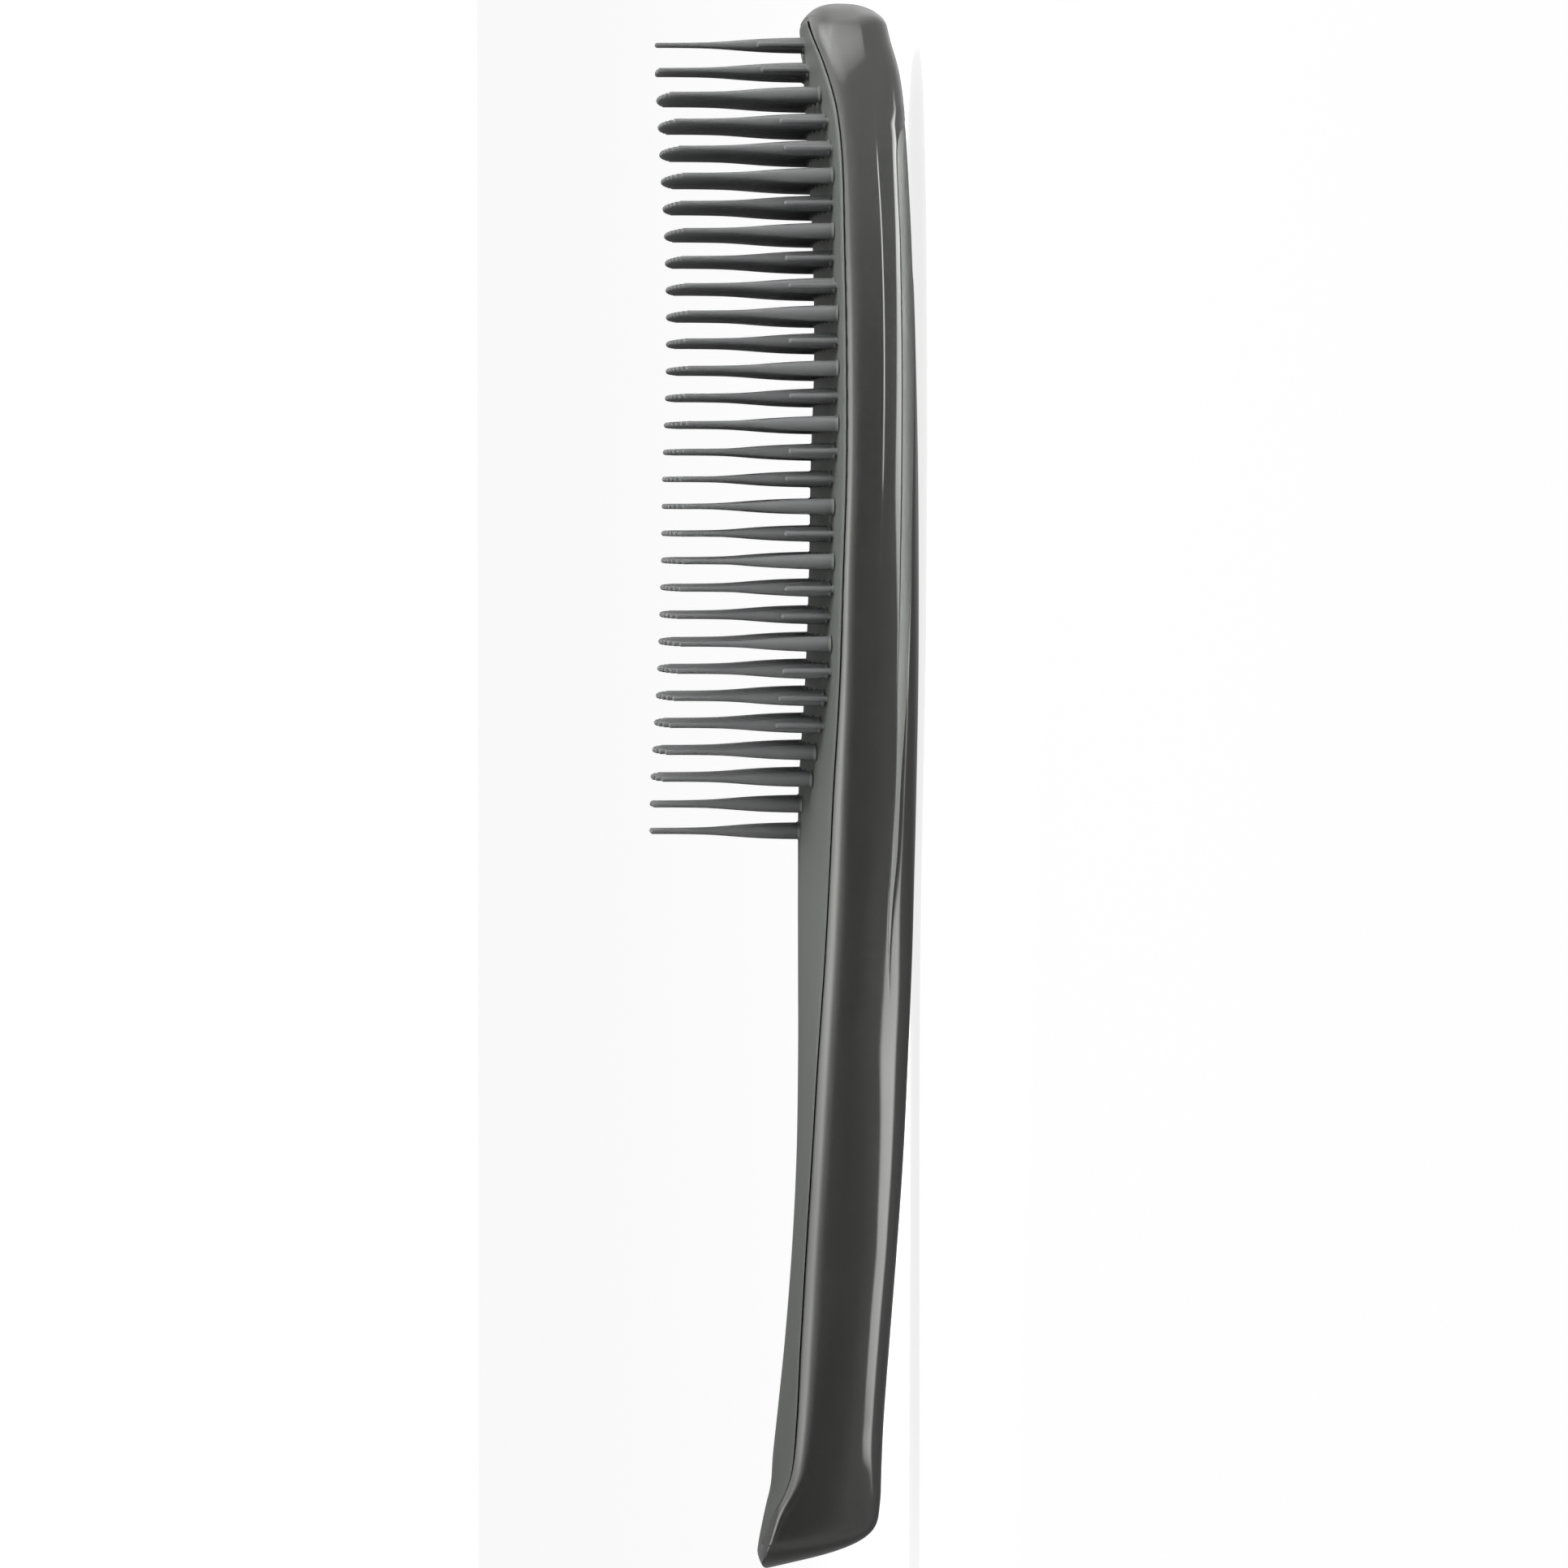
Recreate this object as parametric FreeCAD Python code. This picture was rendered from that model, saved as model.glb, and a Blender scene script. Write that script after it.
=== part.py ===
import FreeCAD, Part
import math
import os

# Detangling brush, lying on its back with the teeth up.
# X runs across the brush, Y from the end of the handle to the tip of the head, Z from the back to the teeth.
# The origin is under the middle of the whole brush, on the surface that it lies on. Lengths are in mm.

# Lengths along the brush, on both sides of the neck line
head_length = 120.7
handle_length = 103.8

# Widths seen from the teeth
head_width = 61.0
neck_width = 27.2
grip_width = 31.8

# Height of the front face at the end of the handle
body_height = 22.9

# Rounded ends
tip_round = 3.4
end_slant = 8.2
end_nose = 1.4
end_round = 17.0
tip_round_power = 2.7
end_round_power = 2.6
end_depth_power = 3.2
tip_peak_share = 0.467
widest_share = 0.579

# Walls and fits
wall = 1.6
seam_gap = 0.25
rim_height = 0.5
crown_least = 0.5
fit_clearance = 0.15
lip_wall = 0.8
lip_depth = 1.2
end_ledge = 5.0

# Depth of the small flat on the back that the brush rests on
back_flat = 0.3

# Teeth
row_count = 30
tip_margin = 5.9
neck_margin = 2.2
side_margin = 4.7
tooth_length = 21.4
tooth_root_diameter = 2.3
tooth_end_diameter = 0.75
short_tooth_length = 6.9
short_tooth_diameter = 0.9
hole_clearance = 0.05
bar_thickness = 1.6
bar_overhang = 1.4
tooth_blend_power = 4

# Ribs and pegs inside
rib_thickness = 1.6
peg_diameter = 3.0
peg_depth = 6.5
socket_wall = 1.2
socket_drop = 3.5
overrun = 1.0

# How many teeth stand on each side of the middle one, from the row at the tip to the row at the neck
side_teeth = (1, 4, 8, 10, 11, 11, 11, 11, 11, 12, 12, 12, 12, 12, 12, 12,
              11, 11, 11, 11, 11, 10, 10, 10, 9, 8, 6, 5, 2, 1)

# Places along the brush: 0 at the neck line, 1 at the tip, -1 at the end of the handle.
# Then the share of the head's and of the grip's extra width over the neck's.
width_shares = (
    (-1.000, 0.000, 1.00),
    (-0.900, 0.000, 1.00),
    (-0.780, 0.000, 0.90),
    (-0.660, 0.000, 0.65),
    (-0.540, 0.000, 0.35),
    (-0.400, 0.000, 0.09),
    (-0.270, 0.000, 0.00),
    (-0.157, 0.030, 0.00),
    (-0.067, 0.100, 0.00),
    (0.000, 0.195, 0.00),
    (0.058, 0.330, 0.00),
    (0.150, 0.580, 0.00),
    (0.210, 0.716, 0.00),
    (0.280, 0.830, 0.00),
    (0.377, 0.935, 0.00),
    (0.473, 0.988, 0.00),
    (0.579, 1.000, 0.00),
    (1.000, 1.000, 0.00),
)

# Heights as shares of the body height, at the same kind of places: back, seam and front,
# then how far up from the back to the seam the crease along the side lies.
height_shares = (
    (-1.000, 0.252, 1.010, 1.000, 1.00),
    (-0.960, 0.250, 0.960, 0.948, 1.00),
    (-0.903, 0.224, 0.912, 0.918, 0.92),
    (-0.850, 0.218, 0.815, 0.903, 0.76),
    (-0.790, 0.205, 0.784, 0.874, 0.69),
    (-0.685, 0.169, 0.758, 0.825, 0.64),
    (-0.560, 0.124, 0.723, 0.781, 0.66),
    (-0.430, 0.083, 0.686, 0.753, 0.65),
    (-0.292, 0.053, 0.648, 0.744, 0.64),
    (-0.157, 0.028, 0.606, 0.745, 0.64),
    (-0.040, 0.015, 0.581, 0.745, 0.62),
    (0.068, 0.005, 0.564, 0.740, 0.61),
    (0.198, 0.000, 0.537, 0.697, 0.60),
    (0.323, 0.002, 0.523, 0.672, 0.58),
    (0.450, 0.009, 0.506, 0.660, 0.55),
    (0.579, 0.026, 0.507, 0.637, 0.52),
    (0.714, 0.050, 0.519, 0.646, 0.51),
    (0.811, 0.074, 0.529, 0.676, 0.53),
    (0.870, 0.093, 0.560, 0.693, 0.52),
    (0.918, 0.125, 0.624, 0.705, 0.46),
    (0.959, 0.181, 0.695, 0.712, 0.39),
    (1.000, 0.222, 0.760, 0.744, 0.36),
)

# The back's turn up to the crease: where its corner lies as a share of the way to the crease, and how square it is
shoulder_shares = (
    (-1.000, 0.74, 0.60),
    (-0.460, 0.74, 0.60),
    (-0.350, 0.69, 0.53),
    (-0.236, 0.61, 0.45),
    (-0.100, 0.65, 0.50),
    (-0.011, 0.71, 0.60),
    (0.068, 0.76, 0.70),
    (0.198, 0.80, 0.79),
    (0.450, 0.82, 0.80),
    (0.650, 0.85, 0.82),
    (1.000, 0.86, 0.82),
)
crease_width_share = 0.925
side_bulge_share = 0.026

# A long tooth's radius, as shares of its length and of its root radius: thick at the root, thin at the end
tooth_taper_shares = ((0.00, 1.00), (0.14, 0.955), (0.29, 0.85), (0.42, 0.70), (0.55, 0.52), (0.66, 0.41),
                      (0.80, 0.355), (1.00, 0.31))

# Where the ribs stand along the head and the pegs along the handle
head_rib_shares = (0.16, 0.36, 0.56, 0.76)
handle_rib_shares = (0.26, 0.56)
peg_shares = (0.12, 0.41, 0.72)
station_count = 36
first_station_share = 0.5

neck_y = (handle_length - head_length) / 2
tip_y = neck_y + head_length
end_y = neck_y - handle_length
row_pitch = (head_length - tip_margin - neck_margin) / (row_count - 1)
column_pitch = (head_width / 2 - side_margin) / max(side_teeth)
tip_ledge = tip_margin - row_pitch / 2 - fit_clearance


def read_table(table, place, column):
    """Smooth value of a column of a table at a place along the brush."""
    last = len(table) - 1
    k = 0
    while k < last - 1 and place > table[k + 1][0]:
        k += 1
    low, high = table[k], table[k + 1]
    span = high[0] - low[0]
    rise = (high[column] - low[column]) / span
    slopes = []
    for j in (k, k + 1):
        before, after = table[max(j - 1, 0)], table[min(j + 1, last)]
        slopes.append((after[column] - before[column]) / (after[0] - before[0]))
    u = min(max((place - low[0]) / span, 0.0), 1.0)
    bend = slopes[0] - rise
    swing = rise - slopes[1]
    return low[column] + span * u * (rise + (1 - u) * (bend * (1 - u) + swing * u))


def place_of(y):
    """Place along the brush as the tables count it."""
    if y > neck_y:
        return (y - neck_y) / head_length
    return (y - neck_y) / handle_length


def half_width(y):
    """Half the width before the ends are rounded."""
    place = place_of(y)
    head_extra = (head_width - neck_width) * read_table(width_shares, place, 1)
    grip_extra = (grip_width - neck_width) * read_table(width_shares, place, 2)
    return (neck_width + head_extra + grip_extra) / 2


def height(y, column):
    """Height of the back (1), the seam (2) or the front (3) before the ends are rounded."""
    return body_height * read_table(height_shares, place_of(y), column)


def end_rounding(y, inset):
    """Shares by which the rounded ends narrow the brush, and thin it towards its tip and its end."""
    to_tip = max(tip_y - inset - y, 0.0)
    to_end = max(y - end_y - inset, 0.0)
    reach = tip_y - inset - (neck_y + widest_share * head_length)
    outward = min(max(1 - to_tip / reach, 0.0), 1.0)
    tip_width = (1 - outward ** tip_round_power) ** (1 / tip_round_power)
    outward = max(1 - to_end / end_round, 0.0)
    end_width = (1 - outward ** end_round_power) ** (1 / end_round_power)
    tip_depth = math.sqrt(1 - max(1 - to_tip / tip_round, 0.0) ** 2)
    end_depth = 1 - max(1 - to_end / end_slant, 0.0) ** end_depth_power
    nose = max(1 - to_end / end_nose, 0.0) ** 2
    return tip_width * end_width, tip_depth, end_depth, nose


def section_sizes(y, inset, lift):
    """Sizes of the outline across the brush: inset from the sides and back, its front lifted."""
    narrow, tip_depth, end_depth, nose = end_rounding(y, inset)
    half = (half_width(y) - inset) * narrow
    back = height(y, 1) - back_flat + inset
    seam = height(y, 2)
    front = height(y, 3)
    rim = min(seam + rim_height, front - crown_least)
    crease = back + (rim - back) * read_table(height_shares, place_of(y), 4)
    front += lift
    rim += lift
    levels = []
    peak = tip_peak_share * body_height
    for level in (back, crease, rim, front):
        level = front + (level - front) * end_depth
        level = peak + (level - peak) * tip_depth
        levels.append(level - nose * end_nose)
    return half, levels


def smooth_edge(points):
    """Smooth edge that leaves its first point and reaches its last one along its control points."""
    curve = Part.BezierCurve()
    curve.setPoles([FreeCAD.Vector(x, 0, z) for x, z in points])
    return curve.toShape()


def section(y, inset, lift):
    """Closed outline across the brush: front, two sides and back, meeting at the rim and the crease."""
    half, (back, crease, rim, front) = section_sizes(y, inset, lift)
    tuck = half * crease_width_share
    middle = (half + tuck) / 2 + half * side_bulge_share
    side = [(half, rim), (middle, (crease + rim) / 2), (tuck, crease)]
    corner = tuck * read_table(shoulder_shares, place_of(y), 1)
    square = read_table(shoulder_shares, place_of(y), 2)
    turn = [(tuck + (corner - tuck) * square, crease + (back - crease) * square), (corner * square, back)]
    right = [(tuck, crease)] + turn + [(0, back)]
    left = [(-x, z) for x, z in reversed(right)]
    far_side = [(-x, z) for x, z in reversed(side)]
    edges = [smooth_edge(side), smooth_edge(right), smooth_edge(left), smooth_edge(far_side)]
    edges.append(smooth_edge([(-half, rim), (0, 2 * front - rim), (half, rim)]))
    wire = Part.Wire(edges)
    wire.translate(FreeCAD.Vector(0, y, 0))
    return wire


def body_form(inset, lift):
    """The brush's outer form, or the form inset from it."""
    length = tip_y - end_y - 2 * inset
    stations = [first_station_share] + list(range(1, station_count)) + [station_count - first_station_share]
    wires = []
    for station in stations:
        share = (1 - math.cos(math.pi * station / station_count)) / 2
        wires.append(section(end_y + inset + length * share, inset, lift))
    return Part.makeLoft(wires, True, False)


def seam_solid(top_offset, bottom_offset):
    """Slab across the brush between two curves that run along the seam, or below one of them."""
    reach = overrun + head_width / 2
    points = []
    for place, _, seam, _, _ in height_shares:
        length = head_length if place > 0 else handle_length
        points.append((neck_y + place * length, body_height * seam))
    points[0] = (points[0][0] - overrun, points[0][1])
    points[-1] = (points[-1][0] + overrun, points[-1][1])

    def seam_edge(offset):
        curve = Part.BSplineCurve()
        curve.interpolate([FreeCAD.Vector(-reach, y, z + offset) for y, z in points])
        return curve.toShape()

    top = seam_edge(top_offset)
    first, last = top.valueAt(top.FirstParameter), top.valueAt(top.LastParameter)
    if bottom_offset is None:
        low = -overrun - body_height
        corners = [last, FreeCAD.Vector(-reach, last.y, low), FreeCAD.Vector(-reach, first.y, low), first]
        edges = [top] + [Part.makeLine(corners[k], corners[k + 1]) for k in range(3)]
    else:
        bottom = seam_edge(bottom_offset)
        low_first = bottom.valueAt(bottom.FirstParameter)
        low_last = bottom.valueAt(bottom.LastParameter)
        edges = [top, Part.makeLine(last, low_last), bottom, Part.makeLine(low_first, first)]
    face = Part.Face(Part.Wire(Part.__sortEdges__(edges)))
    return face.extrude(FreeCAD.Vector(2 * reach, 0, 0))


def upright(diameter, x, y, low, high):
    """Upright round bar."""
    return Part.makeCylinder(diameter / 2, high - low, FreeCAD.Vector(x, y, low))


def cross_box(half, y, depth, low, high):
    """Box across the brush."""
    corner = FreeCAD.Vector(-half, y - depth / 2, low)
    return Part.makeBox(2 * half, depth, high - low, corner)


def hollow_length(clearance):
    """Block over the hollow length of the back, between its solid ends."""
    low_y = end_y + end_ledge + clearance
    high_y = tip_y - tip_ledge - clearance
    return cross_box(head_width, (low_y + high_y) / 2, high_y - low_y, -body_height, 2 * body_height)


def front_level(x, y):
    """Height of the domed front face at a point of the head."""
    half, (_, _, rim, front) = section_sizes(y, 0, 0)
    return front - (front - rim) * (x / half) ** 2


def rib_top():
    """How far below the seam the ribs stop, clear of the tooth bars and of the cover's lip."""
    return max(bar_thickness - seam_gap, lip_depth) + fit_clearance


def peg_places():
    return [neck_y - share * handle_length for share in peg_shares]


def make_back_shell(body):
    """Glossy back: hollow between its solid ends, with ribs under the tooth bars and sockets for the pegs."""
    shell = body.common(seam_solid(0, None))
    cavity = body_form(wall, overrun).common(hollow_length(0))
    solids = []
    rib_places = [neck_y + share * head_length for share in head_rib_shares]
    rib_places += [neck_y - share * handle_length for share in handle_rib_shares]
    for y in rib_places:
        solids.append(cross_box(head_width, y, rib_thickness, -overrun, height(y, 2) - rib_top()))
    bore = peg_diameter + 2 * fit_clearance
    for y in peg_places():
        solids.append(upright(bore + 2 * socket_wall, 0, y, -overrun, height(y, 2) - socket_drop))
    shell = shell.cut(cavity.cut(solids))
    bores = []
    for y in peg_places():
        top = height(y, 2)
        bores.append(upright(bore, 0, y, top - peg_depth - fit_clearance, top))
    return shell.cut(bores)


def make_front_cover(body):
    """Satin front: a domed plate from tip to handle end, with a lip and pegs that enter the back."""
    plate = body.cut(seam_solid(seam_gap, None))
    outer = body_form(wall + fit_clearance, overrun)
    inner = body_form(wall + fit_clearance + lip_wall, overrun)
    lip = outer.common(seam_solid(seam_gap + rim_height / 2, -lip_depth)).cut(inner)
    lip = lip.common(hollow_length(fit_clearance))
    pegs = [upright(peg_diameter, 0, y, height(y, 2) - peg_depth, height(y, 2) + 2 * seam_gap)
            for y in peg_places()]
    cover = plate.fuse([lip] + pegs)
    holes = []
    for row in range(row_count):
        for x, y, is_long in teeth_of(row):
            diameter = tooth_root_diameter if is_long else short_tooth_diameter
            low = height(y, 2) - overrun
            holes.append(upright(diameter + 2 * hole_clearance, x, y, low, front_level(x, y) + overrun))
    return cover.cut(Part.makeCompound(holes))


def teeth_of(row):
    """Places of a row's teeth. Long and short ones take turns along the row and from row to row."""
    y = tip_y - tip_margin - row * row_pitch
    places = []
    for column in range(-side_teeth[row], side_teeth[row] + 1):
        places.append((column * column_pitch, y, (column + row) % 2 == 0))
    return places


def turned(outline, x, y, z):
    """Solid of revolution about an upright axis from edges in its own XZ plane."""
    face = Part.Face(Part.Wire(outline))
    solid = face.revolve(FreeCAD.Vector(0, 0, 0), FreeCAD.Vector(0, 0, 1), 360)
    solid.translate(FreeCAD.Vector(x, y, z))
    return solid


def tooth(x, y, is_long, foot):
    """One tooth: a straight shank from its bar to the front face, then its own taper and a round end."""
    if is_long:
        root, length = tooth_root_diameter / 2, tooth_length
        shares = tooth_taper_shares
        end = tooth_end_diameter / 2
    else:
        root, length = short_tooth_diameter / 2, short_tooth_length
        shares = ()
        end = root
    straight = length - end
    at_foot = FreeCAD.Vector(root, 0, -foot)
    at_root = FreeCAD.Vector(root, 0, 0)
    edges = [Part.makeLine(FreeCAD.Vector(0, 0, -foot), at_foot), Part.makeLine(at_foot, at_root)]
    if is_long:
        points = []
        for along, thick in shares:
            blend = along ** tooth_blend_power
            radius = root * thick * (1 - blend) + end * blend
            points.append(FreeCAD.Vector(radius, 0, straight * along))
        curve = Part.BSplineCurve()
        curve.interpolate(points)
        edges.append(curve.toShape())
    else:
        edges.append(Part.makeLine(at_root, FreeCAD.Vector(root, 0, straight)))
    half_turn = math.sqrt(0.5)
    middle = FreeCAD.Vector(end * half_turn, 0, straight + end * half_turn)
    top = FreeCAD.Vector(0, 0, straight + end)
    edges.append(Part.Arc(FreeCAD.Vector(end, 0, straight), middle, top).toShape())
    edges.append(Part.makeLine(top, FreeCAD.Vector(0, 0, -foot)))
    return turned(edges, x, y, front_level(x, y))


def make_tooth_row(row, band):
    """One row of teeth on its own strip of the tooth plate."""
    places = teeth_of(row)
    y = places[0][1]
    half = side_teeth[row] * column_pitch + bar_overhang
    bar = band.common(cross_box(half, y, row_pitch, 0, body_height))
    bar_top = height(y, 2) + seam_gap
    teeth = []
    for x, y, is_long in places:
        foot = front_level(x, y) - bar_top + bar_thickness / 2
        teeth.append(tooth(x, y, is_long, foot))
    return bar.fuse(Part.makeCompound(teeth))


def flat_faces_first(face):
    return (type(face.Surface).__name__ != "Plane", face.Area)


def put_together(solid):
    """The same solid from its faces, flat ones first and outside out, so that a reader can't turn it inside out."""
    anew = Part.Solid(Part.Shell(sorted(solid.Faces, key=flat_faces_first)))
    if anew.Volume < 0:
        anew.reverse()
    return anew


def main():
    os.makedirs("parts", exist_ok=True)
    under = cross_box(head_width, (tip_y + end_y) / 2, 2 * (tip_y - end_y), -body_height, 0)
    body = body_form(0, 0).cut(under)
    nodes = {"back_shell": make_back_shell(body), "front_cover": make_front_cover(body)}
    band = seam_solid(seam_gap, seam_gap - bar_thickness)
    for row in range(row_count):
        nodes["tooth_row_%02d" % (row + 1)] = make_tooth_row(row, band)
    for name, shape in nodes.items():
        solids = [put_together(solid) for solid in shape.Solids]
        print(name, len(solids))
        Part.makeCompound(solids).exportStep("parts/%s.step" % name)


main()
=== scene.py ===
import math

import bmesh
import bpy
from bpy.props import FloatProperty, FloatVectorProperty, IntProperty, PointerProperty
from mathutils import Matrix, Vector


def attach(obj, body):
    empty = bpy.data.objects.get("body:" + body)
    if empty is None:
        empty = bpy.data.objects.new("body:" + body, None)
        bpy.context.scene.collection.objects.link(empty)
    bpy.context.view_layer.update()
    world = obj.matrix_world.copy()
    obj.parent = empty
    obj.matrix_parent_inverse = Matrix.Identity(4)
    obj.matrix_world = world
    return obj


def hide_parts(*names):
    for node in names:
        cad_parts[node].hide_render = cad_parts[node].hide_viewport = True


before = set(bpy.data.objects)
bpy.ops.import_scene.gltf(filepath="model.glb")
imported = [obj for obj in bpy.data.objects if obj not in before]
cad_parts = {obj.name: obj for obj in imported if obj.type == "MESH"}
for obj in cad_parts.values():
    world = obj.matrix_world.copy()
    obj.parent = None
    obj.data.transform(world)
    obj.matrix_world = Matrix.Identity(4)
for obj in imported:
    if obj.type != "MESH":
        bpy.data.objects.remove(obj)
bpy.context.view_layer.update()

bl_info = {
    "name": "Detangling brush",
    "version": (1, 0, 0),
    "blender": (4, 5, 0),
    "location": "3D View > Sidebar > Brush",
    "description": "Gives the brush its glossy back, satin front, teeth and studio",
    "category": "Object",
}

# The brush lies on its back: X runs across it, Y from the end of the handle to the tip, Z from the back to
# the teeth. The object's lengths are given in millimetres here and kept in metres.
MM = 0.001
TINY = 1e-7

# How many teeth stand on each side of the middle one, from the row at the tip to the row at the neck
SIDE_TEETH = (1, 4, 8, 10, 11, 11, 11, 11, 11, 12, 12, 12, 12, 12, 12, 12,
              11, 11, 11, 11, 11, 10, 10, 10, 9, 8, 6, 5, 2, 1)

# Place along the brush: 0 at the neck line, 1 at the tip, -1 at the end of the handle.
# Then the share of the head's and of the grip's extra width over the neck's.
WIDTH_SHARES = (
    (-1.000, 0.000, 1.00),
    (-0.900, 0.000, 1.00),
    (-0.780, 0.000, 0.90),
    (-0.660, 0.000, 0.65),
    (-0.540, 0.000, 0.35),
    (-0.400, 0.000, 0.09),
    (-0.270, 0.000, 0.00),
    (-0.157, 0.030, 0.00),
    (-0.067, 0.100, 0.00),
    (0.000, 0.195, 0.00),
    (0.058, 0.330, 0.00),
    (0.150, 0.580, 0.00),
    (0.210, 0.716, 0.00),
    (0.280, 0.830, 0.00),
    (0.377, 0.935, 0.00),
    (0.473, 0.988, 0.00),
    (0.579, 1.000, 0.00),
    (1.000, 1.000, 0.00),
)

# Place, then the back, the seam and the front as shares of the body height, and how far up from the back to
# the rim the crease lies.
HEIGHT_SHARES = (
    (-1.000, 0.252, 1.010, 1.000, 0.975),
    (-0.963, 0.250, 0.974, 0.976, 0.975),
    (-0.921, 0.233, 0.926, 0.938, 0.930),
    (-0.903, 0.225, 0.896, 0.922, 0.900),
    (-0.880, 0.222, 0.850, 0.910, 0.850),
    (-0.850, 0.218, 0.812, 0.903, 0.760),
    (-0.790, 0.205, 0.784, 0.874, 0.690),
    (-0.685, 0.169, 0.758, 0.825, 0.640),
    (-0.560, 0.124, 0.723, 0.781, 0.660),
    (-0.430, 0.083, 0.686, 0.753, 0.650),
    (-0.292, 0.053, 0.648, 0.744, 0.640),
    (-0.157, 0.028, 0.606, 0.745, 0.640),
    (-0.040, 0.015, 0.581, 0.745, 0.620),
    (0.068, 0.005, 0.564, 0.740, 0.610),
    (0.198, 0.000, 0.537, 0.697, 0.600),
    (0.323, 0.002, 0.523, 0.672, 0.580),
    (0.450, 0.009, 0.506, 0.660, 0.550),
    (0.579, 0.026, 0.507, 0.637, 0.520),
    (0.714, 0.050, 0.519, 0.646, 0.510),
    (0.811, 0.074, 0.529, 0.676, 0.530),
    (0.870, 0.093, 0.560, 0.693, 0.520),
    (0.918, 0.125, 0.624, 0.705, 0.460),
    (0.959, 0.181, 0.695, 0.712, 0.390),
    (1.000, 0.222, 0.722, 0.744, 0.360),
)

# Place, then the inner and the outer edge of the satin panel as shares of the way from the middle to the
# crease
PANEL_SHARES = (
    (-1.000, 0.633, 0.633),
    (-0.197, 0.633, 0.633),
    (-0.150, 0.660, 0.691),
    (-0.011, 0.685, 0.779),
    (0.068, 0.741, 0.817),
    (0.198, 0.758, 0.867),
    (0.323, 0.739, 0.872),
    (0.450, 0.696, 0.876),
    (0.579, 0.610, 0.880),
    (0.625, 0.530, 0.882),
    (0.660, 0.420, 0.880),
    (0.685, 0.270, 0.878),
    (0.697, 0.120, 0.876),
    (0.700, 0.000, 0.875),
    (0.800, 0.000, 0.868),
    (0.830, 0.000, 0.840),
    (0.846, 0.000, 0.760),
    (0.855, 0.000, 0.600),
    (0.861, 0.000, 0.350),
    (0.865, 0.000, 0.000),
    (1.000, 0.000, 0.000),
)

# Place, then where the back's turn up to the crease lies as a share of the way to the crease, and how
# square it is
SHOULDER_SHARES = (
    (-1.000, 0.74, 0.60),
    (-0.560, 0.74, 0.60),
    (-0.460, 0.70, 0.56),
    (-0.350, 0.66, 0.51),
    (-0.236, 0.61, 0.46),
    (-0.100, 0.65, 0.50),
    (-0.011, 0.71, 0.60),
    (0.068, 0.76, 0.70),
    (0.198, 0.80, 0.79),
    (0.450, 0.82, 0.80),
    (0.650, 0.85, 0.82),
    (1.000, 0.86, 0.82),
)

# Place, then how much of the fine step below the crease is there
STEP_SHARES = (
    (-1.000, 0.00),
    (0.240, 0.00),
    (0.330, 0.35),
    (0.463, 0.90),
    (0.579, 1.16),
    (0.714, 1.54),
    (0.820, 1.54),
    (0.900, 1.00),
    (0.960, 0.20),
    (1.000, 0.00),
)

# A long tooth: share of its length, then share of its root radius
TAPER_SHARES = ((0.00, 1.00), (0.14, 0.955), (0.29, 0.85), (0.42, 0.70), (0.55, 0.52), (0.66, 0.41),
                (0.80, 0.355), (1.00, 0.31))

# Width at the crease as a share of the width at the rim, how much of the height from the back to the rim a
# full side takes, and how far the side bulges as a share of the half width
CREASE_WIDTH_SHARE = 0.925
LEAN_SHARE = 0.3
SIDE_BULGE_SHARE = 0.026

# Height of the tip's foremost point as a share of the body height, and the place where the head is widest
TIP_PEAK_SHARE = 0.467
WIDEST_SHARE = 0.579

# How square the rounded ends are
TIP_ROUND_POWER = 2.7
END_ROUND_POWER = 2.6
END_DEPTH_POWER = 3.2

# The most of a side or a half width that a rounding takes up, and of a half width that an edge turns in
CORNER_SHARE = 0.45
TURN_SHARE = 0.25

# Inside of the shell: its ledge under the seam as a share of the wall
LEDGE_SHARE = 0.75

# Flat underside of the cover, as shares of the way from its middle to its edge
UNDER_SHARES = (0.97, 0.7, 0.4, 0.15, 0.0)

# Collar round a tooth: shares of its height and of its width, then its foot below the front, its lip
# outside the tooth and its inner edge inside it
COLLAR_SHARES = ((0.10, 0.62), (0.38, 0.27), (0.85, 0.12))
COLLAR_INNER_SHARE = 0.98
COLLAR_FOOT = 0.12 * MM
COLLAR_LIP = 0.02 * MM
COLLAR_TUCK = 0.04 * MM
SHORT_COLLAR_SHARE = 0.5

# Points of the back's outline, from its middle outwards: the gloss inside the panel, the panel's inner
# edge, the panel, its outer edge, the gloss outside it and the fine step
BACK_COUNTS = (14, 2, 20, 2, 12, 4)
PANEL_PART, STEP_PART = 2, 5
CREASE_COUNT = 5
SIDE_COUNT = 26
FRONT_COUNT = 40
INNER_COUNT = 16
INNER_SIDE_COUNT = 4

# How much closer together the points lie near the seam, on the side and on the front
SIDE_CROWDING = 1.5
FRONT_CROWDING = -1.7

# Outlines along the shell and the cover, and those added where the seam runs out and at the very tip
SHELL_STATIONS = 170
COVER_STATIONS = 150
SHELL_INSET = 0.11 * MM
SEAM_END_REACH, SEAM_END_COUNT = 3.2 * MM, 16
SEAM_TIP_REACH, SEAM_TIP_COUNT = 2.0 * MM, 12
NOSE_REACH, NOSE_COUNT = 1.4 * MM, 12
LEAST_STATION = 2e-6

# Where the seam's ends are looked for, as a share of the head's and of the handle's length
SEAM_SEARCH_SHARE = 0.8
SEAM_SEARCH_INSET = 1e-6

# Way up a section: from the crease (0) over the side (1) and the rim (2) to the middle of the front (3)
WAY_SIDE, WAY_RIM, WAY_FRONT = 1.0, 2.0, 3.0
WAY_STEPS = 48
SMALL_STEP = 1e-4
HALVINGS = 36

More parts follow.
